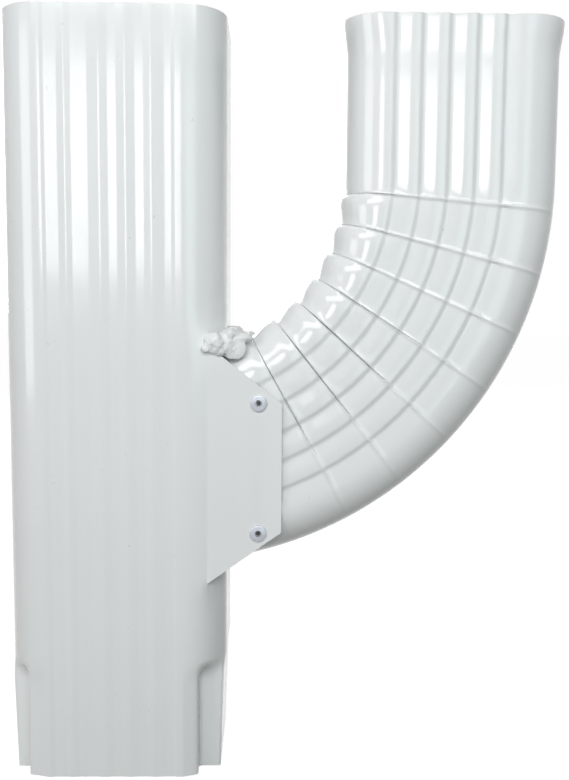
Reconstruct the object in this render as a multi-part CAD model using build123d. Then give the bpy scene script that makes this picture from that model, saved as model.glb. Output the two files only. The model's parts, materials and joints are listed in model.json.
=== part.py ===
from build123d import *

import math
import os

os.makedirs("parts", exist_ok=True)

# Y connector for a rectangular downspout: a pleated elbow let into the side of a straight run.
# Millimetres. +Z runs up the straight run, +X points from it towards the elbow, and the
# visible front is the -Y side. The origin is the centre of the straight run's lower end.

# Sheet and the straight run
sheet = 0.6
tube_width = 82.55
tube_depth = 60.33
tube_length = 285.0
corner_radius = 15.88
corner_folds = 8

# Grooves rolled down both wide faces of the stock
groove_count = 5
groove_pitch = 9.7
tube_groove_depth = 0.5
tube_groove_mouth = 4.2
tube_groove_floor = 1.4
elbow_groove_depth = 1.7
elbow_groove_mouth = 4.8
elbow_groove_floor = 1.4

# Crimped lower end: each corner is pressed in, so that it enters the next pipe
crimp_length = 34.0
crimp_run_out = 14.0
crimp_rows = 3
panel_half_width = 32.2
panel_bow = 2.0
notch_depth = 8.4
notch_fold = 1.6
spigot_corner = 3.0
spigot_inset = 0.9
spigot_taper = 1.1

# Elbow: a mouth, a short leg, pleated segments and a stub that enters the run
elbow_width = 79.6
elbow_corner_radius = 15.0
elbow_corner_folds = 3
mouth_width = 82.2
mouth_depth = 58.5
mouth_height = 283.4
mouth_flare_length = 13.0
throat_radius = 67.3
bend_centre_x = 17.9
bend_centre_z = 226.5
bend_angle = 75.0
pleat_count = 8
stub_insertion = 12.0

# Pleats: the end of each segment is tucked into the shoulder of the next one
rise_angle = 0.9
shoulder_angle = 2.8
tuck_depth = 0.5
rise_height = 0.6
shoulder_height = 1.2
crease_depth = 0.5
shoulder_swell = 0.3
crease_bead = 0.25
crease_reach = 0.38

# Opening in the run's side and the flaps folded out of it
fold_line_x = 34.5
flap_edge_x = 62.2
flap_setback = 0.8
flap_gap = 0.1
corner_over_lower_rivet = 0.4
corner_under_upper_rivet = 0.1
slit_drop = 4.7
slit_trim_angle = 65.0
throat_clearance = 1.5
heel_clearance = 1.0

# Blind rivets, two on each flap
rivet_x = 53.6
rivet_throat_distance = 23.14
rivet_heel_distance = 10.25
rivet_radius = 1.6
rivet_hole_clearance = 0.05
rivet_flange_radius = 3.18
rivet_flange_height = 0.9
rivet_bore_radius = 0.9
rivet_seat_clearance = 0.1
rivet_bulb_radius = 2.4
rivet_bulb_length = 3.2
mandrel_clearance = 0.05
mandrel_recess = 0.5
mandrel_head_radius = 1.35
mandrel_head_length = 1.6

# Bead of sealant in the crook between the run and the elbow
sealant_radius = 5.2
sealant_end_radius = 3.2
sealant_lump = 0.5
sealant_lump_turn = 2.1
sealant_proud = 1.7
sealant_wrap_start = 18.0
sealant_offset_x = 1.0
sealant_offset_z = 3.2
sealant_end_x = 37.0
sealant_end_offset_z = 0.8
sealant_stations = 7
sealant_sides = 7
sealant_clearance = 0.1
sealant_flap_clearance = 0.2

# Values worked out from the sizes above
half_width = tube_width / 2
half_depth = tube_depth / 2
tangent_x = half_width - corner_radius
tangent_y = half_depth - corner_radius
flap_outer_y = half_depth - flap_setback
elbow_depth = 2 * (flap_outer_y - sheet - flap_gap - crease_bead)
bend_radius = throat_radius + elbow_width / 2
heel_radius = throat_radius + elbow_width
leg_length = mouth_height - bend_centre_z
pleat_pitch = bend_angle / pleat_count
stub_end_x = half_width - stub_insertion
rivet_reach_x = rivet_x - bend_centre_x
rivet_upper_z = bend_centre_z - math.sqrt(
    (throat_radius + rivet_throat_distance) ** 2 - rivet_reach_x**2
)
rivet_lower_z = bend_centre_z - math.sqrt(
    (heel_radius - rivet_heel_distance) ** 2 - rivet_reach_x**2
)
flap_low_corner_z = rivet_lower_z + corner_over_lower_rivet
flap_high_corner_z = rivet_upper_z - corner_under_upper_rivet


def smooth(share):
    # Eases from 0 to 1 with no slope at either end.
    share = min(max(share, 0.0), 1.0)
    return share * share * (3 - 2 * share)


def blend(start, end, share):
    return start * (1 - share) + end * share


# Wide faces and their grooves


def wide_face(half_span, inset, depth, mouth, floor):
    # Offset and depth of each fold across a wide face, from one end to the other. Inset
    # skins keep the sheet's thickness, so their folds lie a little further out.
    flank_angle = math.atan2(depth, (mouth - floor) / 2)
    spread = inset * math.tan(flank_angle / 2)
    folds = [(-half_span, 0.0)]
    for i in range(groove_count):
        centre = (i - (groove_count - 1) / 2) * groove_pitch
        folds.append((centre - mouth / 2 - spread, 0.0))
        folds.append((centre - floor / 2 - spread, depth))
        folds.append((centre + floor / 2 + spread, depth))
        folds.append((centre + mouth / 2 + spread, 0.0))
    folds.append((half_span, 0.0))
    return folds


# Straight run


def crimp_share(z):
    # How far the corners are pressed in at a height: 1 in the spigot, 0 above its run-out.
    return smooth((crimp_length + crimp_run_out - z) / crimp_run_out)


def plain_corner(inset):
    # Folds round the front right corner, from the wide face to the narrow side.
    radius = corner_radius - inset
    folds = []
    for i in range(corner_folds + 1):
        turn = math.pi / 2 * i / corner_folds
        x = tangent_x + radius * math.sin(turn)
        folds.append(Vector(x, -tangent_y - radius * math.cos(turn)))
    return folds


def notched_corner(inset, z):
    # The same folds where the corner is pressed in to a step. Rounded folds of the step
    # have a point halfway round.
    front = -half_depth + inset
    edge = front + panel_bow
    panel = panel_half_width - inset
    ledge = front + notch_depth
    side = half_width - inset - spigot_inset - spigot_taper * (1 - min(z / crimp_length, 1.0))
    outer_fold = notch_fold - inset
    inner_fold = notch_fold + inset
    side_fold = spigot_corner - inset
    halfway = 1 - math.sqrt(0.5)
    return [
        Vector(tangent_x, front),
        Vector(panel - outer_fold, edge),
        Vector(panel - outer_fold * halfway, edge + outer_fold * halfway),
        Vector(panel, edge + outer_fold),
        Vector(panel, ledge - inner_fold),
        Vector(panel + inner_fold * halfway, ledge - inner_fold * halfway),
        Vector(panel + inner_fold, ledge),
        Vector(side - side_fold, ledge),
        Vector(side, ledge + side_fold),
    ]


def tube_corner(inset, z):
    share = crimp_share(z)
    pairs = zip(plain_corner(inset), notched_corner(inset, z))
    return [blend(plain, notched, share) for plain, notched in pairs]


def tube_section(z, inset):
    folds = wide_face(tangent_x, inset, tube_groove_depth, tube_groove_mouth, tube_groove_floor)
    right_corner = [(fold.X, fold.Y) for fold in tube_corner(inset, z)[1:]]
    left_corner = [(-x, y) for x, y in reversed(right_corner)]
    face = [(x, depth + inset - half_depth) for x, depth in folds]
    front_half = left_corner + face + right_corner
    back_half = [(x, -y) for x, y in reversed(front_half)]
    return Pos(0, 0, z) * Face(Wire.make_polygon(front_half + back_half, close=True))


def tube_body(inset, overrun):
    heights = [-overrun] if overrun else []
    heights.append(0.0)
    heights += [crimp_length + crimp_run_out * i / crimp_rows for i in range(crimp_rows + 1)]
    heights.append(tube_length + overrun)
    return loft([tube_section(z, inset) for z in heights], ruled=True)


# Elbow


def quarter_turn(centre, side_x, face_y):
    # Folds round a corner, from the side wall to the wide face.
    folds = []
    for i in range(elbow_corner_folds + 1):
        turn = math.pi / 2 * i / elbow_corner_folds
        x = centre.X + (side_x - centre.X) * math.cos(turn)
        y = centre.Y + (face_y - centre.Y) * math.sin(turn)
        folds.append((x, y))
    return folds


def elbow_section(width, depth, inset, throat=0.0, pinch=0.0, bead=0.0):
    # Outline across the elbow, from the throat at -X to the heel at +X. throat moves the
    # throat wall out, pinch presses the wide faces in beside it, bead raises the rest.
    side = width / 2 - inset
    front = -depth / 2 + inset
    radius = elbow_corner_radius - inset
    half_span = side - radius
    reach = crease_reach * width
    face = []
    folds = wide_face(half_span, inset, elbow_groove_depth, elbow_groove_mouth, elbow_groove_floor)
    for x, groove_depth in folds:
        near = smooth(1 - (x + side) / reach)
        face.append((x, front + groove_depth + pinch * near - bead * (1 - near)))
    throat_corner = quarter_turn(Vector(-half_span, front + radius), -side - throat, face[0][1])
    heel_corner = quarter_turn(Vector(half_span, front + radius), side, face[-1][1])
    front_half = throat_corner[:-1] + face + heel_corner[-2::-1]
    back_half = [(x, -y) for x, y in reversed(front_half)]
    return Face(Wire.make_polygon(front_half + back_half, close=True))


def bend_plane(angle, run_on=0.0):
    # Plane across the elbow at an angle round its bend, or moved on along its axis.
    turn = math.radians(angle)
    outward = Vector(math.cos(turn), 0, -math.sin(turn))
    along = Vector(-math.sin(turn), 0, -math.cos(turn))
    origin = Vector(bend_centre_x, 0, bend_centre_z) + outward * bend_radius + along * run_on
    return Plane(origin=origin, x_dir=outward, z_dir=outward.cross(Vector(0, 1, 0)))


def elbow_body(inset, overrun, doubled=False):
    # doubled leaves out the rise beside each crease, where the tucked sheet lies double.
    body = (elbow_width, elbow_depth, inset)
    mouth = (mouth_width, mouth_depth, inset)
    sections = []
    if overrun:
        sections.append(bend_plane(0, -leg_length - overrun) * elbow_section(*mouth))
    sections.append(bend_plane(0, -leg_length) * elbow_section(*mouth))
    sections.append(bend_plane(0, mouth_flare_length - leg_length) * elbow_section(*body))
    for i in range(pleat_count):
        crease = (i + 0.5) * pleat_pitch
        tucked = elbow_section(*body, -tuck_depth, crease_depth, crease_bead)
        rise = elbow_section(*body, rise_height)
        shoulder = elbow_section(*body, shoulder_height, -shoulder_swell)
        sections.append(bend_plane(crease) * tucked)
        if not doubled:
            sections.append(bend_plane(crease + rise_angle) * rise)
        sections.append(bend_plane(crease + shoulder_angle) * shoulder)
    turn = math.radians(bend_angle)
    heel_end_x = bend_centre_x + heel_radius * math.cos(turn)
    stub_length = (heel_end_x - stub_end_x) / math.sin(turn) + overrun + sheet
    sections.append(bend_plane(bend_angle) * elbow_section(*body))
    sections.append(bend_plane(bend_angle, stub_length) * elbow_section(*body))
    return loft(sections, ruled=True)


def make_elbow():
    shell = elbow_body(0, 0) - elbow_body(sheet, 1.0, doubled=True)
    beyond = tube_length
    inside_run = Pos(stub_end_x - beyond / 2, 0, bend_centre_z) * Box(beyond, beyond, 2 * beyond)
    return shell - inside_run - rivet_holes()


# Opening in the run and the flaps folded out of it


def throat_height_at(x):
    # Height at which the throat of the bend passes a distance from the run's axis.
    return bend_centre_z - math.sqrt(throat_radius**2 - (x - bend_centre_x) ** 2)


def heel_height_at(x):
    # The same for the heel, which runs on straight past the end of the bend.
    turn = math.radians(bend_angle)
    end_x = bend_centre_x + heel_radius * math.cos(turn)
    end_z = bend_centre_z - heel_radius * math.sin(turn)
    return end_z - (end_x - x) / math.tan(turn)


opening_low_z = heel_height_at(half_width) - heel_clearance
slit_low_z = opening_low_z - slit_drop
opening_high_z = throat_height_at(half_width) + throat_clearance


def through_prism(points):
    # Solid from an outline in X and Z, through the whole depth of the part.
    outline = make_face(Plane.XZ * Polyline(*points, close=True))
    return extrude(outline, tube_depth, both=True)


def side_opening():
    # Clears the side wall and both corners behind the flaps.
    trim_x = tangent_x + corner_radius * math.sin(math.radians(slit_trim_angle))
    beyond = half_width + corner_radius
    return through_prism(
        [
            (tangent_x, slit_low_z),
            (fold_line_x, slit_low_z),
            (trim_x, opening_low_z),
            (beyond, opening_low_z),
            (beyond, opening_high_z),
            (tangent_x, opening_high_z),
        ]
    )


def flap_prism():
    return through_prism(
        [
            (tangent_x, slit_low_z),
            (fold_line_x, slit_low_z),
            (flap_edge_x, flap_low_corner_z),
            (flap_edge_x, flap_high_corner_z),
            (fold_line_x, opening_high_z),
            (tangent_x, opening_high_z),
        ]
    )


def flap_skin(inset):
    # One skin of the front flap: two tangent arcs step it back from the wide face.
    run = fold_line_x - tangent_x
    turn = 2 * math.atan(flap_setback / run)
    radius = run / (2 * math.sin(turn))
    first = JernArc((tangent_x, -half_depth + inset), (1, 0), radius - inset, math.degrees(turn))
    second = JernArc(first @ 1, first % 1, radius + inset, -math.degrees(turn))
    return [first, second, Line(second @ 1, (flap_edge_x, -flap_outer_y + inset))]


def make_front_flap():
    outer = flap_skin(0)
    inner = flap_skin(sheet)
    ends = [Line(outer[0] @ 0, inner[0] @ 0), Line(outer[-1] @ 1, inner[-1] @ 1)]
    profile = make_face([line.edge() for line in outer + inner + ends])
    return extrude(profile, tube_length, dir=(0, 0, 1)) & flap_prism()


def rivet_holes():
    hole_radius = rivet_radius + rivet_hole_clearance
    drill = Rot(90, 0, 0) * Cylinder(hole_radius, 2 * tube_depth)
    return [Pos(rivet_x, 0, z) * drill for z in (rivet_lower_z, rivet_upper_z)]


def make_tube():
    shell = tube_body(0, 0) - tube_body(sheet, 1.0) - side_opening()
    front_flap = make_front_flap()
    return shell + front_flap + front_flap.mirror(Plane.XZ) - rivet_holes()


# Rivets, drawn on the Z axis with the flap's outer face at zero, then laid along Y

rivet_grip = (
    flap_outer_y
    - elbow_depth / 2
    + sheet
    + elbow_groove_depth
    + crease_depth
    + rivet_seat_clearance
)
bulb_end = -rivet_grip - rivet_bulb_length


def make_rivet():
    # A flange, a shank through both sheets and the bulb that the mandrel drew up.
    outline = Polyline(
        (rivet_bore_radius, rivet_flange_height),
        (rivet_flange_radius, rivet_flange_height),
        (rivet_flange_radius, 0),
        (rivet_radius, 0),
        (rivet_radius, -rivet_grip),
        (rivet_bulb_radius, -rivet_grip),
        (rivet_bulb_radius, bulb_end),
        (rivet_bore_radius, bulb_end),
        close=True,
    )
    return revolve(Plane.XZ * make_face(outline), Axis.Z)


def make_mandrel():
    # The stub of the pulled pin that stays in the rivet's bore, with its head.
    radius = rivet_bore_radius - mandrel_clearance
    head_start = bulb_end - mandrel_clearance
    head_end = head_start - mandrel_head_length
    outline = Polyline(
        (0, head_end),
        (0, rivet_flange_height - mandrel_recess),
        (radius, rivet_flange_height - mandrel_recess),
        (radius, head_start),
        (mandrel_head_radius, head_start),
        (mandrel_head_radius, head_end),
        close=True,
    )
    return revolve(Plane.XZ * make_face(outline), Axis.Z)


def on_front_flap(piece, z):
    return Pos(rivet_x, -flap_outer_y, z) * Rot(90, 0, 0) * piece


# Sealant


def sealant_section(y, station):
    # Ring across the bead, drawn round the crook and slid forward at its ends.
    end_y = half_depth + sealant_proud
    share = smooth((abs(y) - sealant_wrap_start) / (end_y - sealant_wrap_start))
    crook_z = throat_height_at(half_width)
    centre_x = blend(half_width + sealant_offset_x, sealant_end_x, share)
    centre_z = crook_z + blend(sealant_offset_z, sealant_end_offset_z, share)
    radius = blend(sealant_radius, sealant_end_radius, share)
    radius += sealant_lump * math.sin(sealant_lump_turn * station)
    ring = Plane(origin=(centre_x, y, centre_z), z_dir=(0, 1, 0))
    return ring * RegularPolygon(radius, sealant_sides)


def make_sealant():
    end_y = half_depth + sealant_proud
    sections = []
    for station in range(sealant_stations + 1):
        y = end_y * (2 * station / sealant_stations - 1)
        sections.append(sealant_section(y, station))
    bead = loft(sections, ruled=True)
    bead = bead - tube_body(-sealant_clearance, 0) - elbow_body(-sealant_clearance, 0)
    flap_cover = Box(2 * tube_length, tube_depth + sealant_flap_clearance, 2 * tube_length)
    bead = bead - Pos(0, 0, sealant_flap_clearance) * (flap_prism() & flap_cover)
    return max(bead.solids(), key=lambda solid: solid.volume)


tube = make_tube()
elbow = make_elbow()
pieces = {
    "straight_tube": tube,
    "branch_elbow": elbow,
    "joint_sealant": make_sealant(),
}
rivet = make_rivet()
mandrel = make_mandrel()
for level, z in (("upper", rivet_upper_z), ("lower", rivet_lower_z)):
    front_rivet = on_front_flap(rivet, z)
    front_mandrel = on_front_flap(mandrel, z)
    pieces[f"front_{level}_rivet"] = front_rivet
    pieces[f"front_{level}_mandrel"] = front_mandrel
    pieces[f"back_{level}_rivet"] = front_rivet.mirror(Plane.XZ)
    pieces[f"back_{level}_mandrel"] = front_mandrel.mirror(Plane.XZ)

for name, piece in pieces.items():
    export_step(piece, f"parts/{name}.step")
    print(name, round(piece.volume), "mm3")
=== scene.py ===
import json
import math

import bmesh
import bpy
import numpy as np
from mathutils import Matrix, Vector, noise

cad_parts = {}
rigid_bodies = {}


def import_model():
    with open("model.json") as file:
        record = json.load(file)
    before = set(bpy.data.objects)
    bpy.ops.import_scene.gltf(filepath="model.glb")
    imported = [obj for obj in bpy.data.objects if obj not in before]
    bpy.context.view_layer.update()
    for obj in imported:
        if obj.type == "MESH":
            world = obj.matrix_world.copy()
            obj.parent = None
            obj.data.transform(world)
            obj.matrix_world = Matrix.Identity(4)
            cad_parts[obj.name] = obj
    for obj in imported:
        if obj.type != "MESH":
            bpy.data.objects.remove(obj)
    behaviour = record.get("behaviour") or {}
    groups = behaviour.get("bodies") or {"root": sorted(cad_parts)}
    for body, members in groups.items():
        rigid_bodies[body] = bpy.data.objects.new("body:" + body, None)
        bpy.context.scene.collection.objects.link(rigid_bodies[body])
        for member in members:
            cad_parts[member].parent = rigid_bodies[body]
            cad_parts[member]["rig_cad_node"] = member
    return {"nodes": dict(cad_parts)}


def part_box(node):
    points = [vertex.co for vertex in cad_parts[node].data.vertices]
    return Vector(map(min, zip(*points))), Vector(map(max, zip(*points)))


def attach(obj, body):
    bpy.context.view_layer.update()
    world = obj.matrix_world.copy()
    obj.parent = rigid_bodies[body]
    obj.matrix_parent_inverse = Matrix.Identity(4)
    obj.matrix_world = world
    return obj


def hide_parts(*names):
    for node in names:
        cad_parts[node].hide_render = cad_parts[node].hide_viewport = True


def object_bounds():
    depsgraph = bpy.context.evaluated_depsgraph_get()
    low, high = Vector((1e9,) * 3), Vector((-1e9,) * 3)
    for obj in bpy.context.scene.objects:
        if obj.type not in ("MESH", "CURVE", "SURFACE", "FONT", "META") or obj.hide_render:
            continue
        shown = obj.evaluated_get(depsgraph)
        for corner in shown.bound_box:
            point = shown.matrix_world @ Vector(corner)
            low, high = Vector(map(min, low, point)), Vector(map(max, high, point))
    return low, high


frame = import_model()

mm = 0.001  # shapes below are worked out in millimetres and scaled when a mesh is made
cadLow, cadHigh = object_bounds()
runLow, runHigh = (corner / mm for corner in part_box("straight_tube"))
elbowLow, elbowHigh = (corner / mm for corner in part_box("branch_elbow"))
rivetLow, rivetHigh = (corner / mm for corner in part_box("front_upper_rivet"))
print("frame loaded, box", [round(v, 4) for v in (*cadLow, *cadHigh)])

sheet = {
    "thickness": 0.6,
    "creaseAngle": 38,  # degrees, sharper folds than this shade as hard edges
    "mergeGap": 0.02,  # points closer than this become one
    "shortestEdge": 0.005,
}


def ease(share):
    # 0 to 1 with no slope at either end
    share = np.clip(share, 0.0, 1.0)
    return share * share * (3 - 2 * share)


def hump(offset, halfWidth):
    # 1 at offset 0, down to 0 at halfWidth either side
    return 0.5 + 0.5 * np.cos(np.pi * np.clip(offset / halfWidth, -1, 1))


def pressedDepth(across, piece):
    # how deep a wide face is pressed at each offset: straight between the listed bends, bends rounded
    offsets, depths = np.array(piece["bends"]).T
    margin, samples = 3, 3000
    fine = np.linspace(offsets[0] - margin, offsets[-1] + margin, samples)
    reach = int(piece["bendRounding"] / (fine[1] - fine[0]))
    depth = np.pad(np.interp(fine, offsets, depths), reach, mode="edge")
    depth = np.convolve(depth, np.ones(reach) / reach, mode="same")[reach:-reach]
    return np.interp(across, fine, depth)


def faceColumns(piece):
    # offsets across a wide face, with one on each bend
    offsets = [bend[0] for bend in piece["bends"]]
    columns = [offsets[0]]
    for start, end in zip(offsets, offsets[1:]):
        steps = max(1, math.ceil((end - start) / piece["columnWidth"] - 0.01))
        columns += list(np.linspace(start, end, steps + 1)[1:])
    return np.array(columns)


def waver(points, height, scale):
    # slow unevenness of thin sheet, one value from 0 to height a point
    return np.array([height * (0.5 + 0.5 * noise.noise(Vector(p) * scale)) for p in points])


def newMesh(name, points, faces):
    mesh = bpy.data.meshes.new(name)
    mesh.from_pydata([tuple(p) for p in points], [], faces)
    piece = bpy.data.objects.new(name, mesh)
    bpy.context.scene.collection.objects.link(piece)
    work = bmesh.new()
    work.from_mesh(mesh)
    bmesh.ops.remove_doubles(work, verts=work.verts, dist=sheet["mergeGap"])
    bmesh.ops.dissolve_degenerate(work, edges=work.edges, dist=sheet["shortestEdge"])
    bmesh.ops.recalc_face_normals(work, faces=work.faces)
    bmesh.ops.scale(work, vec=(mm, mm, mm), verts=work.verts)
    work.to_mesh(mesh)
    work.free()
    return piece


def keepShape(piece):
    # the modifiers' result becomes the mesh
    graph = bpy.context.evaluated_depsgraph_get()
    made = bpy.data.meshes.new_from_object(piece.evaluated_get(graph))
    piece.modifiers.clear()
    piece.data = made
    return piece


def thickenSheet(piece):
    solid = piece.modifiers.new("sheetThickness", "SOLIDIFY")
    solid.thickness = sheet["thickness"] * mm
    solid.offset = -1
    solid.use_even_offset = False
    solid.material_offset_rim = 1
    return keepShape(piece)


def shadeFolds(piece, angle):
    mesh = piece.data
    mesh.polygons.foreach_set("use_smooth", [True] * len(mesh.polygons))
    mesh.set_sharp_from_angle(angle=math.radians(angle))


def roundTheBack(half):
    # closes a front half, left middle to right middle, with its mirror image behind
    back = half[:, -2:0:-1].copy()
    back[:, :, 1] *= -1
    return np.concatenate([half, back], axis=1)


def gridFaces(rows, columns, closed, skip=None):
    faces = []
    for j in range(rows - 1):
        for k in range(columns if closed else columns - 1):
            if skip and skip(j, k):
                continue
            after = (k + 1) % columns
            low, high = j * columns, (j + 1) * columns
            faces.append((low + k, low + after, high + after, high + k))
    return faces


# Straight run

run = {
    "halfWidth": -runLow.x,
    "halfDepth": runHigh.y,
    "length": runHigh.z,
    "cornerRadius": 15.88,
    "cornerSteps": 36,
    "foldStep": 14,  # the corner step that lies on the flaps' fold line
    "columnWidth": 0.36,
    "sideSteps": 6,
    "bends": [  # offset and depth: flat strips between low ridges
        (-25.4, 0), (-24.6, 0.02), (-23.1, 0.26), (-18.5, 0.28), (-16.2, 0), (-13.6, 0.28), (-8.0, 0.28),
        (-3.8, 0), (-0.6, 0.28), (2.2, 0.28), (5.5, 0), (9.0, 0.28), (11.8, 0.28),
        (14.7, 0), (19.3, 0.3), (21.8, 0.3), (22.6, 0.12), (23.2, 0), (25.4, 0),
    ],
    "bendRounding": 0.5,
    "waver": 0.2,
    "waverScale": 0.021,
    "waverFades": (30, 25, 12),  # it dies out towards the lower end, the upper end and the sides
}
crimp = {
    "length": 35.5,
    "runOut": 9.5,
    "panelHalfWidth": 32.2,
    "panelShift": -1.1,
    "panelBow": 2.0,
    "bowAt": 3.5,  # past the wide face the panel has taken this share of its bow
    "bowShare": 0.55,
    "notchDepth": 8.4,
    "foldRounding": 1.5,
    "spigotInset": 0.9,
    "spigotTaper": 1.1,
}
flap = {
    "foldX": 34.5,
    "edgeX": runHigh.x,
    "setback": 0.8,  # at the rivets
    "seatX": 53.6,
    "tilt": 0.028,
    "lowZ": 75.0,
    "highZ": 164.9,
    "lowCornerZ": 95.0,
    "highCornerZ": 143.3,
    "slitTrimX": 39.8,
    "slitTrimZ": 79.7,
    "steps": 30,
    "bendX": 50.1,  # a soft bend that the rivets pulled into each flap
    "bendHeight": 0.22,
    "bendHalfWidth": 5.0,
    "edgeLift": 0.5,  # the free edge springs off the elbow a little
    "liftWidth": 7.0,
    "dentDepth": 0.9,  # where the snips stopped, at the lower end of the fold line
    "dentRadius": 2.6,
    "dentFromFold": (0.5, -1.2),
    "opensOver": (9, 12),  # heights below and above the flap over which the corner opens
    "foldFade": 10,  # corner steps over which the fold's pull dies out
    "slitFade": 14,
    "rootShare": 4,  # the flap leaves the fold line over one part in this many of its width
}
tangentX = run["halfWidth"] - run["cornerRadius"]
tangentY = run["halfDepth"] - run["cornerRadius"]


def plainCorner():
    turn = np.linspace(0, np.pi / 2, run["cornerSteps"] + 1)
    x = tangentX + run["cornerRadius"] * np.sin(turn)
    y = -tangentY - run["cornerRadius"] * np.cos(turn)
    return np.stack([x, y], axis=1)


def notchedCorner(z, hand):
    # the crimped corner: the panel's edge turns in, runs back and steps out to the side
    panelEdge = crimp["panelHalfWidth"] + hand * crimp["panelShift"]
    front = -run["halfDepth"]
    ledge = front + crimp["notchDepth"]
    side = run["halfWidth"] - crimp["spigotInset"]
    side -= crimp["spigotTaper"] * (1 - min(z / crimp["length"], 1))
    bends = np.array([
        (tangentX, front),
        (tangentX + crimp["bowAt"], front + crimp["bowShare"] * crimp["panelBow"]),
        (panelEdge, front + crimp["panelBow"]),
        (panelEdge, ledge),
        (side, ledge),
        (side, -tangentY),
    ])
    lengths = np.concatenate([[0], np.cumsum(np.hypot(*np.diff(bends, axis=0).T))])
    samples = 400
    fine = np.linspace(0, lengths[-1], samples)
    path = np.stack([np.interp(fine, lengths, bends[:, i]) for i in (0, 1)], axis=1)
    reach = int(crimp["foldRounding"] / (fine[1] - fine[0]))
    padded = np.pad(path, ((reach, reach), (0, 0)), mode="edge")
    for _ in range(2):
        kernel = np.ones(reach) / reach
        padded = np.stack([np.convolve(padded[:, i], kernel, mode="same") for i in (0, 1)], axis=1)
    rounded = padded[reach:-reach]
    rounded[0], rounded[-1] = path[0], path[-1]
    at = np.linspace(0, samples - 1, run["cornerSteps"] + 1)
    return np.stack([np.interp(at, np.arange(samples), rounded[:, i]) for i in (0, 1)], axis=1)


def flapSetback(x):
    # how far the flap lies behind the wide face's plane
    flat = flap["setback"] + flap["tilt"] * (flap["seatX"] - np.maximum(x, flap["foldX"]))
    joggle = flat * np.clip((x - tangentX) / (flap["foldX"] - tangentX), 0, 1) ** 2
    bend = flap["bendHeight"] * hump(x - flap["bendX"], flap["bendHalfWidth"])
    return joggle - bend - flap["edgeLift"] * ease((x - flap["edgeX"]) / flap["liftWidth"] + 1)


def flapEdgeX(z):
    heights = (flap["lowZ"], flap["lowCornerZ"], flap["highCornerZ"], flap["highZ"])
    return np.interp(z, heights, (flap["foldX"], flap["edgeX"], flap["edgeX"], flap["foldX"]))


def crimpedCorner(z, hand):
    # one corner of the run at a height, hand 1 on the right and -1 on the left
    pressed = ease((crimp["length"] + crimp["runOut"] - z) / crimp["runOut"])
    corner = plainCorner()
    if pressed > 0:
        corner = corner * (1 - pressed) + notchedCorner(z, hand) * pressed
    return corner


def runCorner(z):
    # folds from the wide face's edge to the narrow side at one height, where the flaps are
    corner = crimpedCorner(z, 1)
    below, above = flap["opensOver"]
    spread = ease((z - flap["lowZ"] + below) / below) * ease((flap["highZ"] + above - z) / above)
    if spread > 0:
        fold = run["foldStep"]
        opened = corner.copy()
        opened[: fold + 1, 0] = np.linspace(tangentX, flap["foldX"], fold + 1)
        opened[: fold + 1, 1] = flapSetback(opened[: fold + 1, 0]) - run["halfDepth"]
        pull = opened[fold] - corner[fold]
        fade = 1 - ease(np.arange(len(corner) - fold) / flap["foldFade"])
        opened[fold:] = corner[fold:] + pull * fade[:, None]
        corner = corner * (1 - spread) + opened * spread
    return corner


def runHeights():
    # rows lie closer together where the section changes
    heights = [0, 0.8, 4, 8, 12, 16, 20, 24, 28, 31, 33]
    heights += list(np.linspace(crimp["length"], crimp["length"] + crimp["runOut"], 15))
    heights += [50, 53, 57, 61, 65, 68, 70.5, 73]
    heights += list(np.linspace(flap["lowZ"], flap["lowCornerZ"], 9))
    heights += list(np.linspace(flap["lowCornerZ"], flap["highCornerZ"], 11)[1:])
    heights += list(np.linspace(flap["highCornerZ"], flap["highZ"], 9)[1:])
    heights += [166, 168, 170.5, 174, 178]
    heights += list(np.linspace(184, run["length"] - 3, 19)) + [run["length"] - 1, run["length"]]
    return np.array(heights, float)


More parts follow.
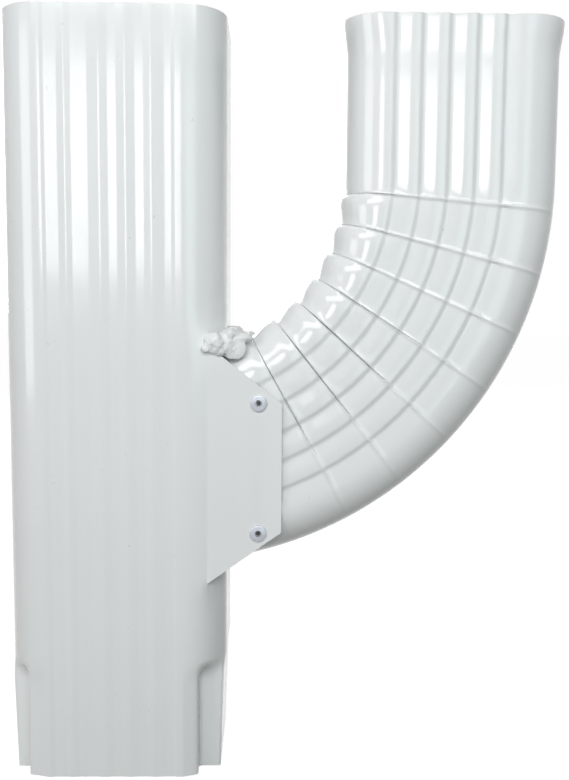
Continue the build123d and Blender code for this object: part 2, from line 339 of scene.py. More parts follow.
def buildRun():
    heights = runHeights()
    acrossFace = faceColumns(run)
    sideY = np.linspace(0, -tangentY, run["sideSteps"] + 1)[:-1]
    rows = []
    for z in heights:
        right = runCorner(z)
        left = crimpedCorner(z, -1)
        face = np.stack([acrossFace, pressedDepth(acrossFace, run) - run["halfDepth"]], axis=1)
        sideShift = run["halfWidth"] - left[-1, 0]
        leftSide = np.stack([np.full(len(sideY), sideShift - run["halfWidth"]), sideY], axis=1)
        rightSide = np.stack([np.full(len(sideY), run["halfWidth"] - sideShift), sideY], axis=1)
        mirrored = left[::-1] * (-1, 1)
        half = np.concatenate([leftSide, mirrored[:-1], face, right[1:], rightSide[::-1]])
        rows.append(np.column_stack([half, np.full(len(half), z)]))
    half = np.array(rows)
    foldColumn = len(sideY) + run["cornerSteps"] + len(acrossFace) - 1 + run["foldStep"]
    half = slantSlit(half, heights, foldColumn)
    ripple = waver(half.reshape(-1, 3), run["waver"], run["waverScale"]).reshape(half.shape[:2])
    lowFade, highFade, sideFade = run["waverFades"]
    ends = ease(heights / lowFade) * ease((run["length"] - heights) / highFade)
    inward = ease((run["halfWidth"] + 0.01 - np.abs(half[:, :, 0])) / sideFade)
    half[:, :, 1] += ripple * ends[:, None] * inward
    dentX, dentZ = np.add((flap["foldX"], flap["lowZ"]), flap["dentFromFold"])
    toSlit = np.hypot(half[:, :, 0] - dentX, half[:, :, 2] - dentZ)
    dent = flap["dentDepth"] * hump(toSlit, flap["dentRadius"]) * (heights < flap["lowZ"])[:, None]
    half[:, :, 1] += dent * (half[:, :, 1] < -tangentY)
    ring = roundTheBack(half)
    columns = ring.shape[1]
    first = int(np.argmin(np.abs(heights - flap["lowZ"])))
    last = int(np.argmin(np.abs(heights - flap["highZ"])))

    def inOpening(j, k):
        return first <= j < last and foldColumn <= k < columns - foldColumn

    points = ring.reshape(-1, 3)
    faces = gridFaces(len(heights), columns, True, inOpening)
    for foldAt, sign in ((foldColumn, -1), (columns - foldColumn, 1)):
        panel, panelFaces = buildFlap(heights[first : last + 1], ring[first : last + 1, foldAt], sign)
        faces += [tuple(i + len(points) for i in face) for face in panelFaces]
        points = np.concatenate([points, panel])
    return newMesh("straightRun", points, faces)


def slantSlit(half, heights, foldColumn):
    # under the slit the corner is snipped on a slant, so its rows there dip
    x = half[:, foldColumn:, 0]
    rise = np.interp(x, (flap["foldX"], flap["slitTrimX"]), (0, flap["slitTrimZ"] - flap["lowZ"]))
    below = ease((heights - flap["lowZ"]) / flap["slitFade"] + 1) * (heights <= flap["lowZ"])
    half[:, foldColumn:, 2] += rise * below[:, None]
    return half


def buildFlap(heights, foldPoints, sign):
    share = np.linspace(0, 1, flap["steps"] + 1)
    rows = []
    for z, fold in zip(heights, foldPoints):
        x = flap["foldX"] + share * (flapEdgeX(z) - flap["foldX"])
        y = sign * (run["halfDepth"] - flapSetback(x))
        row = np.stack([x, y, np.full(len(x), z)], axis=1)
        row += (fold - row[0]) * (1 - ease(share * flap["rootShare"]))[:, None]
        rows.append(row)
    panel = np.array(rows)
    return panel.reshape(-1, 3), gridFaces(len(heights), panel.shape[1], False)


# Elbow

elbow = {
    "halfWidth": 39.8,
    "halfDepth": 28.41,
    "cornerRadius": 15.0,
    "mouthHalfWidth": 41.1,
    "mouthHalfDepth": 29.25,
    "mouthFlare": 13.0,
    "top": elbowHigh.z,
    "stubEndX": elbowLow.x,
    "bendX": 17.9,
    "bendZ": 226.5,
    "throatRadius": 67.3,
    "bendAngle": 75.0,
    "pleats": 8,
    "cornerSteps": 12,
    "columnWidth": 0.55,
    "sideSteps": 5,
    "bends": [  # each groove drops off a ridge steeply and climbs gently to the next one
        (-24.8, 0),
        (-23.8, 0), (-22.4, 0.96), (-21.7, 1.04), (-17.5, 0.22), (-15.8, 0.03),
        (-14.1, 0), (-12.7, 1.14), (-12.0, 1.23), (-7.8, 0.26), (-6.1, 0.03),
        (-4.1, 0), (-2.7, 1.2), (-2.0, 1.3), (2.2, 0.27), (3.9, 0.03),
        (5.8, 0), (7.2, 1.2), (7.9, 1.3), (12.1, 0.27), (13.8, 0.03),
        (15.7, 0), (17.1, 1.2), (17.8, 1.3), (22.0, 0.4), (23.7, 0.12),
        (24.8, 0),
    ],
    "bendRounding": 0.5,
    "mouthDrops": (0, 0.6, 3, 6, 9, 11, 13, 16, 22, 28, 34, 40, 46, 52),  # rows below the mouth
    "stubRows": np.linspace(0.12, 1, 9),  # shares of the straight stub
    "waver": 0.16,
    "waverScale": 0.045,
    "waverFade": (6, 8),  # it starts this far inside the wide face and is full this much further out
}
pleat = {
    # phases are shares of a segment from one crease to the next, reaches are shares of the width
    "firstRows": ((0.35, 0.7), (0.7, 0.84), (0.85, 0.91), (0.94, 0.96), (0.98, 0.99)),
    "throatTuck": 0.7,
    "throatShoulder": 1.3,
    "throatRiseEnd": 0.16,
    "throatFallStart": 0.3,
    "throatFallShare": 0.9,
    "lipHeight": 0.35,
    "lipStart": 0.82,
    "lipReach": 0.62,  # from the throat, a lip stands open this far
    "lipSteepness": 3,
    "valley": 0.75,
    "valleyEnd": 0.34,
    "valleyReach": 0.36,
    "openShare": 0.3,  # of the valley, the rest is there under flat lips too
    "swell": 0.35,
    "swellEnd": 0.4,
    "swellSinkStart": 0.6,
    "beadHeight": 0.38,
    "beadHalfWidth": 0.055,
    "beadFades": (0.2, 0.85),  # the bead rises from the throat and sinks by half at the heel
    "flatBeadGain": 0.3,  # it stands higher where the lips are pressed flat
    "pinchAt": 0.735,  # where the bead crosses the last groove it is squeezed up
    "pinch": 0.9,
    "pinchHalfWidth": 0.05,
    "flattening": 0.38,  # crimping the bend takes this share off the grooves' depth
    "crevice": 1.1,  # the dark gap under an open lip
    "creviceHalfWidth": 0.022,
    "creviceReach": 0.72,
    "creviceFade": 0.3,
    "flatOpenness": 0.15,  # of the upper lips, which are pressed flat
    "opensFrom": 15,  # degrees
    "opensOver": 30,
    "coveredX": 63.5,  # under the flaps the lips are pressed flat
    "coveredZ": 168.0,
    "coveredLift": 0.2,
}


def pleatRows():
    # phases of the rows between one crease and the next, closer at the crease
    return np.array([0, 0.02, 0.045, 0.08, 0.13, 0.2, 0.3, 0.42, 0.56, 0.7, 0.82, 0.9, 0.95, 0.98, 0.995])


def throatStep(phase):
    # the throat wall steps out past each crease and slopes back to the next one
    climb = pleat["throatTuck"] + pleat["throatShoulder"]
    start = pleat["throatFallStart"]
    rise = ease(phase / pleat["throatRiseEnd"])
    fall = ease((phase - start) / (1 - start)) * pleat["throatFallShare"]
    return climb * (rise - fall) - pleat["throatTuck"]


def faceLift(phase, fromThroat, openness):
    # how far a wide face stands out along a segment: an open lip, a valley past it, a bead
    def sinksFrom(start, at):  # down to a half between start and 1
        return 1 - 0.5 * ease((at - start) / (1 - start))

    nearThroat = ease(1 - fromThroat / pleat["valleyReach"])
    standing = ease((1 - fromThroat / pleat["lipReach"]) * pleat["lipSteepness"]) * openness
    valley = pleat["openShare"] * standing + (1 - pleat["openShare"]) * nearThroat
    valley *= pleat["valley"] * (1 - ease(phase / pleat["valleyEnd"]))
    swell = pleat["swell"] * ease(phase / pleat["swellEnd"]) * nearThroat
    swell *= sinksFrom(pleat["swellSinkStart"], phase)
    lip = ease((phase - pleat["lipStart"]) / (1 - pleat["lipStart"])) * standing
    bead = hump(phase, pleat["beadHalfWidth"]) + hump(phase - 1, pleat["beadHalfWidth"])
    rising, sinking = pleat["beadFades"]
    bead *= ease(fromThroat / rising) * sinksFrom(sinking, fromThroat)
    bead *= 1 + pleat["flatBeadGain"] * (1 - openness)
    bead *= 1 + pleat["pinch"] * hump(fromThroat - pleat["pinchAt"], pleat["pinchHalfWidth"])
    crevice = hump(min(phase, 1 - phase), pleat["creviceHalfWidth"]) * openness ** 2
    crevice *= ease((pleat["creviceReach"] - fromThroat) / pleat["creviceFade"])
    raised = swell + pleat["lipHeight"] * lip + pleat["beadHeight"] * bead
    return raised - valley - pleat["crevice"] * crevice


def lipOpenness(angle):
    # the upper lips are pressed flat, those near the run stand open
    flat = pleat["flatOpenness"]
    return flat + (1 - flat) * float(ease((angle - pleat["opensFrom"]) / pleat["opensOver"]))


def elbowStations():
    # angle round the bend and phase in a segment
    stations = []
    pitch = elbow["bendAngle"] / elbow["pleats"]
    for i in range(elbow["pleats"]):
        for phase in pleatRows():
            stations.append(((i + 0.5 + phase) * pitch, phase))
    return [s for s in stations if s[0] < elbow["bendAngle"]]


def elbowHalf(halfWidth, halfDepth, angle, phase, strength, onward=0.0):
    # front half of one row, from the middle of the throat wall to the middle of the heel
    radius = elbow["cornerRadius"]
    span = halfWidth - radius
    across = faceColumns(elbow) * span / elbow["bends"][-1][0]
    turn = np.linspace(0, np.pi / 2, elbow["cornerSteps"] + 1)
    throatOut = throatStep(phase) * strength
    faceY = pressedDepth(across, elbow) * (1 - pleat["flattening"] * strength) - halfDepth
    sideY = np.linspace(0, -(halfDepth - radius), elbow["sideSteps"] + 1)[:-1]
    throatX = np.full(len(sideY), -halfWidth - throatOut)
    cornerX = -span - (radius + throatOut) * np.cos(turn)
    cornerY = -(halfDepth - radius) - radius * np.sin(turn)
    heelX = span + radius * np.cos(turn[::-1])
    x = np.concatenate([throatX, cornerX[:-1], across, heelX[1:], np.full(len(sideY), halfWidth)])
    y = np.concatenate([sideY, cornerY[:-1], faceY, cornerY[::-1][1:], sideY[::-1]])
    fromThroat = np.clip((x + halfWidth) / (2 * halfWidth), 0, 1)
    facing = ease((-y - (halfDepth - radius)) / radius)
    lift = faceLift(phase, fromThroat, lipOpenness(angle)) * strength * facing
    world = placeInBend(x, y, angle, onward)
    covered = (world[:, 0] < pleat["coveredX"]) & (world[:, 2] < pleat["coveredZ"])
    lift = np.where(covered, np.minimum(lift, pleat["coveredLift"]), lift)
    world[:, 1] -= lift
    return world


def placeInBend(x, y, angle, onward):
    turn = math.radians(angle)
    bendRadius = elbow["throatRadius"] + elbow["halfWidth"]
    reach = bendRadius + x
    worldX = elbow["bendX"] + reach * math.cos(turn) - onward * math.sin(turn)
    worldZ = elbow["bendZ"] - reach * math.sin(turn) - onward * math.cos(turn)
    return np.stack([worldX, y, np.broadcast_to(worldZ, y.shape)], axis=1)


def buildElbow():
    rows = []
    legLength = elbow["top"] - elbow["bendZ"]
    firstCrease = elbow["bendAngle"] / elbow["pleats"] / 2
    for drop in elbow["mouthDrops"]:
        flare = 1 - ease(drop / elbow["mouthFlare"])
        halfWidth = elbow["halfWidth"] + flare * (elbow["mouthHalfWidth"] - elbow["halfWidth"])
        halfDepth = elbow["halfDepth"] + flare * (elbow["mouthHalfDepth"] - elbow["halfDepth"])
        rows.append(elbowHalf(halfWidth, halfDepth, 0, 0.5, 0, drop - legLength))
    body = (elbow["halfWidth"], elbow["halfDepth"])
    rows.append(elbowHalf(*body, 0, 0.5, 0))
    firstPhase, lastPhase = pleat["firstRows"][0][1], pleat["firstRows"][-1][1]
    for share, phase in pleat["firstRows"]:
        strength = ease((phase - firstPhase) / (lastPhase - firstPhase))
        rows.append(elbowHalf(*body, share * firstCrease, phase, strength))
    for angle, phase in elbowStations():
        rows.append(elbowHalf(*body, angle, phase, 1))
    end = elbowHalf(*body, elbow["bendAngle"], 0.5, 0)
    rows.append(end)
    turn = math.radians(elbow["bendAngle"])
    toEnd = (end[:, 0] - elbow["stubEndX"]) / math.sin(turn)
    for share in elbow["stubRows"]:
        onward = end.copy()
        onward[:, 0] -= toEnd * share * math.sin(turn)
        onward[:, 2] -= toEnd * share * math.cos(turn)
        rows.append(onward)
    half = np.array(rows)
    ripple = waver(half.reshape(-1, 3), elbow["waver"], elbow["waverScale"]).reshape(half.shape[:2])
    inside, over = elbow["waverFade"]
    half[:, :, 1] += ripple * ease((np.abs(half[:, :, 1]) - elbow["halfDepth"] + inside) / over)
    ring = roundTheBack(half)
    faces = gridFaces(len(rows), ring.shape[1], True)
    return newMesh("pleatedElbow", ring.reshape(-1, 3), faces)


straightRun = thickenSheet(buildRun())
shadeFolds(straightRun, sheet["creaseAngle"])
print("straight run", len(straightRun.data.polygons), "faces")
pleatedElbow = thickenSheet(buildElbow())
shadeFolds(pleatedElbow, sheet["creaseAngle"])
print("pleated elbow", len(pleatedElbow.data.polygons), "faces")

# Sealant

bead = {
    "seed": 1795664894,  # noise_vector starts from the clock unless it is given one
    "radius": 4.6,
    "offsetX": 1.2,
    "offsetZ": 2.6,
    "reachY": 25.0,
    "blobs": 22,
    "wander": 0.9,
    "wanderScale": 0.31,
    "swell": 0.12,  # share by which the bead's thickness varies
    "swellScale": 0.4,
    "noiseRows": (4.2, 1.7),  # the slices of the noise that the two follow
    "voxel": 0.5,
    "softening": 3,
    "creaseAngle": 70,
    "lumps": 0.7,
    "lumpScale": 0.3,
    "wrinkle": 0.4,
    "wrinkleScale": 0.95,
    "embed": 0.25,
    "smoothPast": (44.0, 27.0),  # the smear beyond this x and y was wiped smooth
    "smoothFade": 3.0,
    "smoothShare": 0.9,
    "backShift": (0.4, -0.5),  # x and z, the lobes behind lie a little off those in front
    # squeezed out at the front and back ends: x, y, z and radii of each lobe
    "lobes": [
        (37.0, -29.0, 165.6, 3.9, 2.5, 3.9),
        (34.0, -30.0, 163.6, 2.0, 1.4, 1.4),
        (39.6, -28.2, 163.0, 2.8, 2.2, 2.6),
        (43.2, -25.5, 168.8, 2.6, 4.6, 2.3),
        (46.8, -24.0, 167.2, 4.6, 4.8, 1.7),
        (44.6, -27.6, 163.6, 4.6, 1.2, 4.6),
    ],
}


def throatHeight(x):
    return elbow["bendZ"] - math.sqrt(elbow["throatRadius"] ** 2 - (x - elbow["bendX"]) ** 2)


def pushOut(inward, sideways, cornerRadius, flatHalf):
    # inward is how far a point lies past a wall that ends in a rounded corner at flatHalf
    keep = cornerRadius - bead["embed"]
    past = abs(sideways) - flatHalf
    if inward <= 0 or past >= cornerRadius:
        return inward, sideways
    if past <= 0:
        return (min(inward, bead["embed"]), sideways) if inward < cornerRadius else (inward, sideways)
    if inward >= cornerRadius:
        return inward, math.copysign(flatHalf + max(past, keep), sideways)
    away = math.hypot(cornerRadius - inward, past)
    if away < keep:
        inward = cornerRadius - (cornerRadius - inward) * keep / away
        sideways = math.copysign(flatHalf + past * keep / away, sideways)
    return inward, sideways


def clearOfSheets(point):
    # a bead point never lies deeper than the skin of the run or of the bend
    inward, y = pushOut(run["halfWidth"] - point.x, point.y, run["cornerRadius"], tangentY)
    point = Vector((run["halfWidth"] - inward, y, point.z))
    fromAxis = Vector((point.x - elbow["bendX"], 0, point.z - elbow["bendZ"]))
    flatHalf = elbow["halfDepth"] - elbow["cornerRadius"]
    past = fromAxis.length - elbow["throatRadius"]
    inward, y = pushOut(past, point.y, elbow["cornerRadius"], flatHalf)
    fromAxis = fromAxis.normalized() * (elbow["throatRadius"] + inward)
    return Vector((elbow["bendX"] + fromAxis.x, y, elbow["bendZ"] + fromAxis.z))


def buildBead():
    noise.seed_set(bead["seed"])
    crook = throatHeight(run["halfWidth"])
    work = bmesh.new()
    lobes = []
    wanderRow, swellRow = bead["noiseRows"]
    for i in range(bead["blobs"]):
        y = bead["reachY"] * (2 * i / (bead["blobs"] - 1) - 1)
        shift = noise.noise_vector(Vector((0, y * bead["wanderScale"], wanderRow))) * bead["wander"]
        swell = bead["swell"] * noise.noise(Vector((y * bead["swellScale"], swellRow, 0)))
        x, z = run["halfWidth"] + bead["offsetX"] + shift.x, crook + bead["offsetZ"] + shift.z
        lobes.append((x, y, z, *[bead["radius"] * (1 + swell)] * 3))
    shiftX, shiftZ = bead["backShift"]
    for x, y, z, *radii in bead["lobes"]:
        lobes += [(x, y, z, *radii), (x + shiftX, -y, z + shiftZ, *radii)]
    for lobe in lobes:
        x, y, z, *radii = [size * mm for size in lobe]
        place = Matrix.Translation((x, y, z)) @ Matrix.Diagonal((*radii, 1))
        bmesh.ops.create_icosphere(work, subdivisions=3, radius=1, matrix=place)
    mesh = bpy.data.meshes.new("sealantBead")
    work.to_mesh(mesh)
    work.free()
    piece = bpy.data.objects.new("sealantBead", mesh)
    bpy.context.scene.collection.objects.link(piece)
    merge = piece.modifiers.new("merge", "REMESH")
    merge.mode = "VOXEL"
    merge.voxel_size = bead["voxel"] * mm
    soften = piece.modifiers.new("soften", "SMOOTH")
    soften.iterations = bead["softening"]
    keepShape(piece)
    smoothX, smoothY = bead["smoothPast"]
    for vertex in piece.data.vertices:
        spot = vertex.co / mm
        swell = bead["lumps"] * noise.noise(spot * bead["lumpScale"])
        swell += bead["wrinkle"] * (0.5 - abs(noise.noise(spot * bead["wrinkleScale"])) * 2)
        if abs(spot.y) > smoothY:
            swell *= 1 - bead["smoothShare"] * float(ease((spot.x - smoothX) / bead["smoothFade"]))
        vertex.co = clearOfSheets(spot + vertex.normal * swell) * mm
        vertex.co.y = max(cadLow.y, min(cadHigh.y, vertex.co.y))  # inside the CAD box
    return piece


sealantBead = buildBead()
shadeFolds(sealantBead, bead["creaseAngle"])
print("sealant bead", len(sealantBead.data.polygons), "faces")

# Rivets

rivet = {
    "x": (rivetLow.x + rivetHigh.x) / 2,
    "seatY": run["halfDepth"] - flap["setback"],
    "flangeRadius": (rivetHigh.x - rivetLow.x) / 2,
    "rimHeight": 0.34,
    "domeHeight": 0.95,
    "domeFullness": 0.94,  # 1 would bring the dome's edge down upright
    "domeSteps": 10,
    "boreRadius": 1.1,
    "lipWidth": 0.4,
    "lipDrop": 0.06,
    "edgeHeight": 0.12,
    "shankRadius": 1.6,
    "bulbRadius": 2.4,
    "bulbLength": 3.2,
    "sides": 64,
    "creaseAngle": 50,
}


def rivetProfile():
    # radius and height from the bore's mouth over the dome and down to the bulb, each edge rounded
    # by a point or two set a few tenths back
    flange, bore, dome = rivet["flangeRadius"], rivet["boreRadius"], rivet["domeHeight"]
    shank, bulb = rivet["shankRadius"], rivet["bulbRadius"]
    end = -rivetHigh.y - rivet["seatY"]  # the bulb's far end, below the flap's face
    lip = bore + rivet["lipWidth"]
    profile = [(bore, end), (bore, -1.0), (bore, 0.5)]
    profile += [(bore + 0.05, dome - 0.16), (bore + 0.14, dome - 0.02), (lip, dome)]
    for step in range(1, rivet["domeSteps"] + 1):
        share = step / rivet["domeSteps"]
        fall = 1 - math.sqrt(1 - (share * rivet["domeFullness"]) ** 2)
        height = dome - rivet["lipDrop"] - fall * (dome - rivet["rimHeight"])
        profile.append((lip + share * (flange - lip), height))
    profile += [(flange, rivet["edgeHeight"]), (flange - 0.1, 0.0), (shank, 0.0)]
    bulbTop = end + rivet["bulbLength"]
    profile += [(shank, bulbTop + 0.5), (bulb - 0.3, bulbTop), (bulb, bulbTop - 0.7)]
    profile += [(bulb, end + 1.0), (bulb - 0.5, end + 0.2), (bulb - 1.0, end)]
    return profile


def buildRivet(name, node):
    low, high = (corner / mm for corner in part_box(node))
    z = (low.z + high.z) / 2
    sign = -1 if low.y + high.y < 0 else 1
    profile = rivetProfile()
    points = []
    for radius, height in profile:
        for k in range(rivet["sides"]):
            turn = 2 * math.pi * k / rivet["sides"]
            y = sign * (rivet["seatY"] + height)
            points.append((rivet["x"] + radius * math.cos(turn), y, z + radius * math.sin(turn)))
    piece = newMesh(name, points, rivetFaces(len(profile)))
    shadeFolds(piece, rivet["creaseAngle"])
    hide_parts(node)
    return piece


def rivetFaces(rings):
    # rings joined in turn and back to the first one, so the rivet is closed
    sides = rivet["sides"]
    faces = []
    for j in range(rings):
        for k in range(sides):
            after, ring, nextRing = (k + 1) % sides, j * sides, (j + 1) % rings * sides
            faces.append((ring + k, ring + after, nextRing + after, nextRing + k))
    return faces


rivets = []
for side in ("front", "back"):
    for level in ("upper", "lower"):
        rivets.append(buildRivet(f"{side}{level.capitalize()}Rivet", f"{side}_{level}_rivet"))
print("rivets", len(rivets))

# Finishes

noiseSpread = {  # the part of each noise that is stretched to its whole range
    "patch": (0.2, 0.8),
    "dust": (0.735, 0.80),
    "rough": (0.3, 0.7),
}


def addNode(tree, kind, **settings):
    node = tree.nodes.new(kind)
    for name, value in settings.items():
        if name in node.inputs:
            node.inputs[name].default_value = value
        else:
            setattr(node, name, value)
    return node


def newGroup(name, inputs, outputs):
    group = bpy.data.node_groups.new(name, "ShaderNodeTree")
    for label, kind, value in inputs:
        socket = group.interface.new_socket(label, in_out="INPUT", socket_type=kind)
        if value is not None:
            socket.default_value = value
    for label, kind in outputs:
        group.interface.new_socket(label, in_out="OUTPUT", socket_type=kind)
    return group, group.nodes.new("NodeGroupInput"), group.nodes.new("NodeGroupOutput")


def noiseAt(tree, place, scaleSocket, detail, roughness=0.5):
    cloud = addNode(tree, "ShaderNodeTexNoise")
    cloud.inputs["Detail"].default_value = detail
    cloud.inputs["Roughness"].default_value = roughness
    tree.links.new(place, cloud.inputs["Vector"])
    tree.links.new(scaleSocket, cloud.inputs["Scale"])
    return cloud.outputs["Fac"]


def stretchRange(tree, value, low, high, toLow, toHigh):
    spread = addNode(tree, "ShaderNodeMapRange")
    for name, amount in (("From Min", low), ("From Max", high), ("To Min", toLow), ("To Max", toHigh)):
        if isinstance(amount, bpy.types.NodeSocket):
            tree.links.new(amount, spread.inputs[name])
        else:
            spread.inputs[name].default_value = amount
    tree.links.new(value, spread.inputs["Value"])
    return spread.outputs["Result"]


def makeTone():
    # slow patches between two near colours, with sparse fine specks of shop dust
    inputs = [
        ("Position", "NodeSocketVector", None),
        ("Main Colour", "NodeSocketColor", (0.9, 0.9, 0.9, 1)),
        ("Patch Colour", "NodeSocketColor", (0.85, 0.86, 0.86, 1)),
        ("Dust Colour", "NodeSocketColor", (0.5, 0.48, 0.45, 1)),
        ("Patch Scale", "NodeSocketFloat", 18.0),
        ("Dust Scale", "NodeSocketFloat", 900.0),
        ("Dust Amount", "NodeSocketFloat", 0.3),
    ]
    group, enter, leave = newGroup("enamelTone", inputs, [("Colour", "NodeSocketColor")])
    place = enter.outputs["Position"]
    patch = noiseAt(group, place, enter.outputs["Patch Scale"], 3)
    patch = stretchRange(group, patch, *noiseSpread["patch"], 0, 1)
    speck = noiseAt(group, place, enter.outputs["Dust Scale"], 2, 0.6)
    speck = stretchRange(group, speck, *noiseSpread["dust"], 0, enter.outputs["Dust Amount"])
    mix = addNode(group, "ShaderNodeMix", data_type="RGBA")
    group.links.new(patch, mix.inputs["Factor"])
    group.links.new(enter.outputs["Main Colour"], mix.inputs["A"])
    group.links.new(enter.outputs["Patch Colour"], mix.inputs["B"])
    dusty = addNode(group, "ShaderNodeMix", data_type="RGBA")
    group.links.new(speck, dusty.inputs["Factor"])
    group.links.new(mix.outputs["Result"], dusty.inputs["A"])
    group.links.new(enter.outputs["Dust Colour"], dusty.inputs["B"])
    group.links.new(dusty.outputs["Result"], leave.inputs["Colour"])
    return group


def makeGrain():
    # surface unevenness as a normal, a slow one and a fine one mixed, with its height
    inputs = [
        ("Position", "NodeSocketVector", None),
        ("Slow Scale", "NodeSocketFloat", 60.0),
        ("Fine Scale", "NodeSocketFloat", 900.0),
        ("Fine Share", "NodeSocketFloat", 0.3),
        ("Strength", "NodeSocketFloat", 0.1),
        ("Distance", "NodeSocketFloat", 0.0005),
    ]
    outputs = [("Normal", "NodeSocketVector"), ("Height", "NodeSocketFloat")]
    group, enter, leave = newGroup("surfaceGrain", inputs, outputs)
    place = enter.outputs["Position"]
    slow = noiseAt(group, place, enter.outputs["Slow Scale"], 2)
    fine = noiseAt(group, place, enter.outputs["Fine Scale"], 4, 0.6)
    mix = addNode(group, "ShaderNodeMix", data_type="FLOAT")
    group.links.new(enter.outputs["Fine Share"], mix.inputs["Factor"])
    group.links.new(slow, mix.inputs["A"])
    group.links.new(fine, mix.inputs["B"])
    bump = addNode(group, "ShaderNodeBump")
    group.links.new(mix.outputs["Result"], bump.inputs["Height"])
    group.links.new(enter.outputs["Strength"], bump.inputs["Strength"])
    group.links.new(enter.outputs["Distance"], bump.inputs["Distance"])
    group.links.new(bump.outputs["Normal"], leave.inputs["Normal"])
    group.links.new(mix.outputs["Result"], leave.inputs["Height"])
    return group


toneGroup = makeTone()
grainGroup = makeGrain()


def newFinish(name, finish):
    material = bpy.data.materials.new(name)
    material.use_nodes = True
    tree = material.node_tree
    shader = tree.nodes["Principled BSDF"]
    place = addNode(tree, "ShaderNodeTexCoord").outputs["Object"]
    tone = addNode(tree, "ShaderNodeGroup", node_tree=toneGroup)
    grain = addNode(tree, "ShaderNodeGroup", node_tree=grainGroup)
    for node, values in ((tone, finish["tone"]), (grain, finish["grain"])):
        tree.links.new(place, node.inputs["Position"])
        for label, value in values.items():
            node.inputs[label].default_value = value
    low, high = finish["roughness"]
    rough = stretchRange(tree, grain.outputs["Height"], *noiseSpread["rough"], low, high)
    tree.links.new(tone.outputs["Colour"], shader.inputs["Base Color"])
    tree.links.new(rough, shader.inputs["Roughness"])
    tree.links.new(grain.outputs["Normal"], shader.inputs["Normal"])
    for label, value in finish["shader"].items():
        shader.inputs[label].default_value = value
    return material


enamel = {  # its roughness stays well under 0.27, past which a render showed pale patches
    "tone": {
        "Main Colour": (0.880, 0.885, 0.880, 1),
        "Patch Colour": (0.845, 0.858, 0.855, 1),
        "Dust Colour": (0.45, 0.43, 0.40, 1),
        "Patch Scale": 22.0,
        "Dust Scale": 420.0,
        "Dust Amount": 0.35,
    },
    "grain": {
        "Slow Scale": 75.0,
        "Fine Scale": 1100.0,
        "Fine Share": 0.12,
        "Strength": 0.22,
        "Distance": 0.0004,
    },
    "roughness": (0.11, 0.18),
    "shader": {"IOR": 1.5, "Coat Weight": 0.2, "Coat Roughness": 0.06},
}
cutMetal = {
    "tone": {
        "Main Colour": (0.62, 0.61, 0.60, 1),
        "Patch Colour": (0.45, 0.44, 0.42, 1),
        "Dust Colour": (0.2, 0.19, 0.18, 1),
        "Patch Scale": 240.0,
        "Dust Scale": 1500.0,
        "Dust Amount": 0.5,
    },
    "grain": {
        "Slow Scale": 500.0,
        "Fine Scale": 3000.0,
        "Fine Share": 0.5,
        "Strength": 0.3,
        "Distance": 0.0002,
    },
    "roughness": (0.35, 0.5),
    "shader": {"Metallic": 0.85},
}
caulk = {
    "tone": {
        "Main Colour": (0.90, 0.905, 0.90, 1),
        "Patch Colour": (0.86, 0.865, 0.86, 1),
        "Dust Colour": (0.4, 0.38, 0.34, 1),
        "Patch Scale": 160.0,
        "Dust Scale": 800.0,
        "Dust Amount": 0.5,
    },
    "grain": {
        "Slow Scale": 220.0,
        "Fine Scale": 1400.0,
        "Fine Share": 0.35,
        "Strength": 0.5,
        "Distance": 0.0008,
    },
    "roughness": (0.28, 0.42),
    "shader": {"IOR": 1.43, "Coat Weight": 0.15, "Coat Roughness": 0.15},
}
brightRivet = {
    "tone": {
        "Main Colour": (0.60, 0.62, 0.68, 1),
        "Patch Colour": (0.44, 0.46, 0.51, 1),
        "Dust Colour": (0.3, 0.3, 0.3, 1),
        "Patch Scale": 420.0,
        "Dust Scale": 1600.0,
        "Dust Amount": 0.4,
    },
    "grain": {
        "Slow Scale": 600.0,
        "Fine Scale": 4000.0,
        "Fine Share": 0.3,
        "Strength": 0.25,
        "Distance": 0.0002,
    },
    "roughness": (0.34, 0.5),
    "shader": {"Metallic": 0.35},
}
# near-black pin: its dark colour is painted shade, standing for the shade down each rivet's bore
pinPaintedBoreShade = {
    "tone": {
        "Main Colour": (0.09, 0.09, 0.095, 1),
        "Patch Colour": (0.03, 0.03, 0.03, 1),
        "Dust Colour": (0.05, 0.05, 0.05, 1),
        "Patch Scale": 900.0,
        "Dust Scale": 2500.0,
        "Dust Amount": 0.5,
    },
    "grain": {
        "Slow Scale": 1500.0,
        "Fine Scale": 5000.0,
        "Fine Share": 0.5,
        "Strength": 0.8,
        "Distance": 0.0003,
    },
    "roughness": (0.4, 0.6),
    "shader": {"Metallic": 0.9},
}

enamelFinish = newFinish("whiteEnamel", enamel)
cutFinish = newFinish("cutMetal", cutMetal)
caulkFinish = newFinish("caulk", caulk)
rivetFinish = newFinish("brightRivet", brightRivet)
pinShadeFinish = newFinish("pinPaintedBoreShade", pinPaintedBoreShade)


def dress(piece, slot, *finishes):
    piece.data.materials.clear()
    for finish in finishes:
        piece.data.materials.append(finish)
    if "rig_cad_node" not in piece:
        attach(piece, "root")


for piece in (straightRun, pleatedElbow):
    indices = [0] * len(piece.data.polygons)  # 1 on the cut edges, kept over the new finishes
    piece.data.polygons.foreach_get("material_index", indices)
    dress(piece, "white_enamel", enamelFinish, cutFinish)
    piece.data.polygons.foreach_set("material_index", indices)
dress(sealantBead, "white_sealant", caulkFinish)
for piece in rivets:
    dress(piece, "bare_rivet", rivetFinish)
# the mandrel pins get the near-black finish, painted shade in the rivets' bores
for name, node in frame["nodes"].items():
    if name.endswith("mandrel"):
        dress(node, "mandrel_steel", pinShadeFinish)
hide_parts("straight_tube")
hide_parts("branch_elbow")
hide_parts("joint_sealant")
print("finishes on")

# Stage

stage = {
    "floorSize": 12.0,
    "floorDrop": 0.0006,
    "floorColour": (0.15, 0.148, 0.135, 1),
    "floorRoughness": 0.9,
    "floorGlow": 0.98,
    "worldLight": 0.06,
    "worldColour": (0.97, 0.985, 1.0, 1),
    "lampsAim": (0.06, 0, 0.15),
}


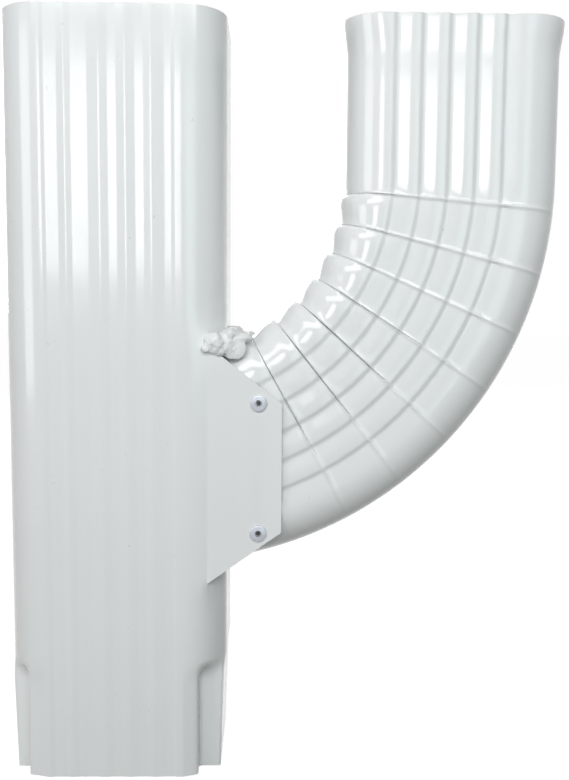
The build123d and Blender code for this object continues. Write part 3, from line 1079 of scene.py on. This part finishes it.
def seenMask(tree):  # 1 where the background is looked at, reflected or seen through
    path = addNode(tree, "ShaderNodeLightPath")
    mask = path.outputs["Is Camera Ray"]
    for label in ("Is Glossy Ray", "Is Transmission Ray"):
        either = addNode(tree, "ShaderNodeMath", operation="MAXIMUM")
        tree.links.new(mask, either.inputs[0])
        tree.links.new(path.outputs[label], either.inputs[1])
        mask = either.outputs[0]
    return mask


def buildFloor():
    half = stage["floorSize"] / 2
    corners = [(-half, -half), (half, -half), (half, half), (-half, half)]
    mesh = bpy.data.meshes.new("paleFloor")
    mesh.from_pydata([(x, y, cadLow.z - stage["floorDrop"]) for x, y in corners], [], [(0, 1, 2, 3)])
    floor = bpy.data.objects.new("paleFloor", mesh)
    bpy.context.scene.collection.objects.link(floor)
    material = bpy.data.materials.new("paleFloor")
    material.use_nodes = True
    tree = material.node_tree
    shader = tree.nodes["Principled BSDF"]
    shader.inputs["Base Color"].default_value = stage["floorColour"]
    shader.inputs["Roughness"].default_value = stage["floorRoughness"]
    shader.inputs["Specular IOR Level"].default_value = 0.0
    glow = addNode(tree, "ShaderNodeMath", operation="MULTIPLY")
    glow.inputs[1].default_value = stage["floorGlow"]
    tree.links.new(seenMask(tree), glow.inputs[0])
    shader.inputs["Emission Color"].default_value = (1, 1, 1, 1)
    tree.links.new(glow.outputs[0], shader.inputs["Emission Strength"])
    mesh.materials.append(material)


def buildWorld():
    world = bpy.data.worlds.new("studio")
    bpy.context.scene.world = world
    world.use_nodes = True
    tree = world.node_tree
    tree.nodes.clear()
    out = addNode(tree, "ShaderNodeOutputWorld")
    light = addNode(tree, "ShaderNodeBackground", Color=stage["worldColour"], Strength=stage["worldLight"])
    white = addNode(tree, "ShaderNodeBackground", Color=(1, 1, 1, 1), Strength=1.0)
    mix = addNode(tree, "ShaderNodeMixShader")
    tree.links.new(seenMask(tree), mix.inputs["Fac"])
    tree.links.new(light.outputs[0], mix.inputs[1])
    tree.links.new(white.outputs[0], mix.inputs[2])
    tree.links.new(mix.outputs[0], out.inputs["Surface"])


lamps = {  # place, width and height, strength and colour of each
    "window": {  # mirrored by the flat faces as the bright strips
        "at": (-0.208, -1.25, 0.402),
        "size": (0.25, 0.345),
        "watts": 1.85,
        "colour": (1, 0.995, 0.985),
    },
    "sideFill": {
        "at": (-0.95, -0.85, 0.32),
        "size": (0.55, 0.60),
        "watts": 3.4,
        "colour": (0.985, 0.99, 1),
    },
    "frontFill": {
        "at": (0.42, -1.10, 0.30),
        "size": (0.50, 0.50),
        "watts": 1.3,
        "colour": (0.76, 0.98, 1),
    },
    "rightFill": {
        "at": (1.0, -0.35, 0.28),
        "size": (0.60, 0.60),
        "watts": 0.2,
        "colour": (1, 1, 0.97),
    },
    "overhead": {  # too high for the flat faces to mirror
        "at": (0.06, -0.55, 0.56),
        "size": (0.75, 0.20),
        "watts": 2.65,
        "colour": (0.97, 0.99, 1),
    },
    "backFill": {
        "at": (-0.35, 1.25, 0.55),
        "size": (0.80, 0.80),
        "watts": 10.0,
        "colour": (1, 1, 1),
    },
}


def buildLamps():
    for name, lamp in lamps.items():
        data = bpy.data.lights.new(name, "AREA")
        data.shape = "RECTANGLE"
        data.size, data.size_y = lamp["size"]
        data.energy = lamp["watts"]
        data.color = lamp["colour"]
        light = bpy.data.objects.new(name, data)
        light.location = lamp["at"]
        towards = Vector(stage["lampsAim"]) - light.location
        light.rotation_euler = towards.to_track_quat("-Z", "Y").to_euler()
        bpy.context.scene.collection.objects.link(light)


# Camera, from the fit of the photographed edges

cameraFit = {
    "at": (57.45, -352.89, 178.55),  # mm
    "pitch": 0.0928882,
    "yaw": -0.0174410,
    "roll": 0.0071829,
    "focalPixels": 883.63,
    "imageHeight": 780,
    "sensor": 36.0,
    "clip": (0.01, 50),
}


def turnAbout(axis, angle):
    return Matrix.Rotation(angle, 3, axis)


def buildCamera():
    data = bpy.data.cameras.new("photoCamera")
    data.sensor_fit = "AUTO"
    data.sensor_width = cameraFit["sensor"]
    data.lens = cameraFit["focalPixels"] * cameraFit["sensor"] / cameraFit["imageHeight"]
    data.clip_start, data.clip_end = cameraFit["clip"]
    camera = bpy.data.objects.new("photoCamera", data)
    level = Matrix(((1, 0, 0), (0, 0, -1), (0, 1, 0)))
    turned = turnAbout("Z", cameraFit["roll"]) @ turnAbout("X", cameraFit["pitch"])
    view = turned @ turnAbout("Y", cameraFit["yaw"]) @ level
    axes = Matrix((view[0], -view[1], -view[2])).transposed()
    camera.matrix_world = Matrix.Translation(Vector(cameraFit["at"]) * mm) @ axes.to_4x4()
    bpy.context.scene.collection.objects.link(camera)
    bpy.context.scene.camera = camera


buildFloor()
buildWorld()
buildLamps()
buildCamera()
bpy.context.scene.view_settings.view_transform = "Standard"
print("stage, lamps and camera set")
